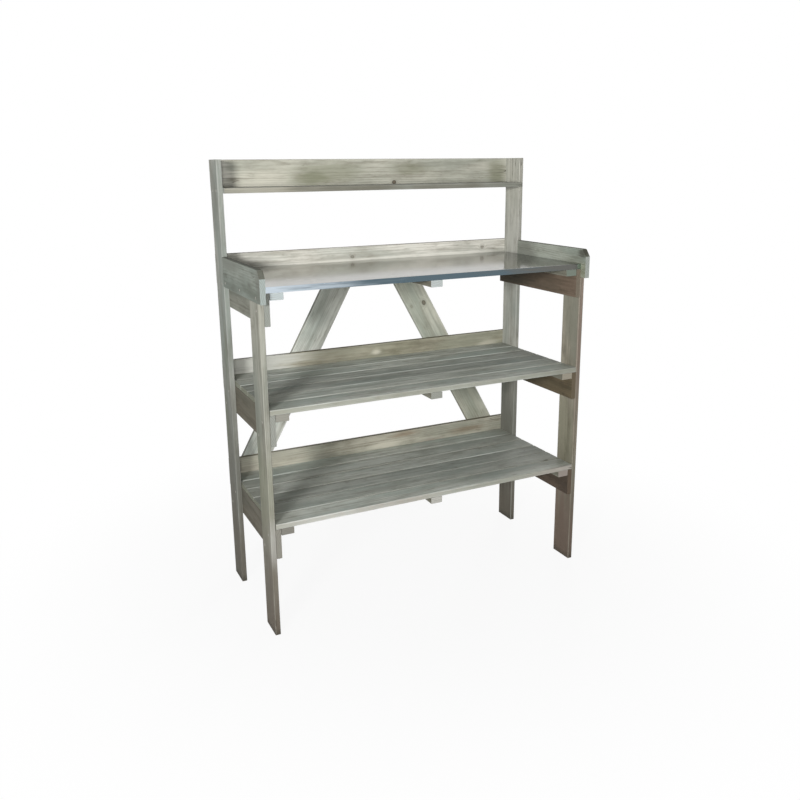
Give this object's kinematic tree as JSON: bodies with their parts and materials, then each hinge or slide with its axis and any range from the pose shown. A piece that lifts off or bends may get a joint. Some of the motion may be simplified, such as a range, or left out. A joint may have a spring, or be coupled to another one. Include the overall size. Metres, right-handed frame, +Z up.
{
  "type": "potting bench",
  "caption": "Weathered wooden potting bench with slatted shelves, a zinc-covered worktop between low side boards, a raised top board with a ledge, and diagonal braces behind.",
  "frame": {"origin": "on the ground under the middle of the whole bench", "axes": "+X to the right of someone standing at the front, +Y from the front to the rear, +Z up"},
  "size_m": [0.95, 0.442, 1.2],
  "materials": {
    "frame_wood": "sawn, pressure treated, weathered grey green",
    "slat_wood": "planed, pressure treated, weathered blue grey",
    "zinc": "galvanised, smooth, half bright",
    "screw_steel": "galvanised, dull"
  },
  "bodies": {
    "root": {"left_front_post": "frame_wood", "left_rear_post": "frame_wood", "left_side_board": "frame_wood", "left_brace": "frame_wood", "left_bottom_shelf_rail": "frame_wood", "left_middle_shelf_rail": "frame_wood", "left_worktop_rail": "frame_wood", "right_front_post": "frame_wood", "right_rear_post": "frame_wood", "right_side_board": "frame_wood", "right_brace": "frame_wood", "right_bottom_shelf_rail": "frame_wood", "right_middle_shelf_rail": "frame_wood", "right_worktop_rail": "frame_wood", "bottom_shelf_slat_1": "slat_wood", "bottom_shelf_slat_2": "slat_wood", "bottom_shelf_slat_3": "slat_wood", "bottom_shelf_slat_4": "slat_wood", "bottom_shelf_slat_5": "slat_wood", "bottom_shelf_slat_6": "slat_wood", "bottom_shelf_left_batten": "frame_wood", "bottom_shelf_middle_batten": "frame_wood", "bottom_shelf_right_batten": "frame_wood", "bottom_shelf_backboard": "frame_wood", "middle_shelf_slat_1": "slat_wood", "middle_shelf_slat_2": "slat_wood", "middle_shelf_slat_3": "slat_wood", "middle_shelf_slat_4": "slat_wood", "middle_shelf_slat_5": "slat_wood", "middle_shelf_slat_6": "slat_wood", "middle_shelf_left_batten": "frame_wood", "middle_shelf_middle_batten": "frame_wood", "middle_shelf_right_batten": "frame_wood", "middle_shelf_backboard": "frame_wood", "worktop_slat_1": "slat_wood", "worktop_slat_2": "slat_wood", "worktop_slat_3": "slat_wood", "worktop_slat_4": "slat_wood", "worktop_slat_5": "slat_wood", "worktop_slat_6": "slat_wood", "worktop_left_batten": "frame_wood", "worktop_middle_batten": "frame_wood", "worktop_right_batten": "frame_wood", "worktop_backboard": "frame_wood", "top_board": "frame_wood", "top_ledge": "frame_wood", "zinc_sheet": "zinc", "post_screws": "screw_steel", "side_board_screws": "screw_steel", "brace_screws": "screw_steel", "rear_board_screws": "screw_steel", "ledge_screws": "screw_steel", "bottom_shelf_screws": "screw_steel", "middle_shelf_screws": "screw_steel", "worktop_screws": "screw_steel"}
  },
  "joints": []
}
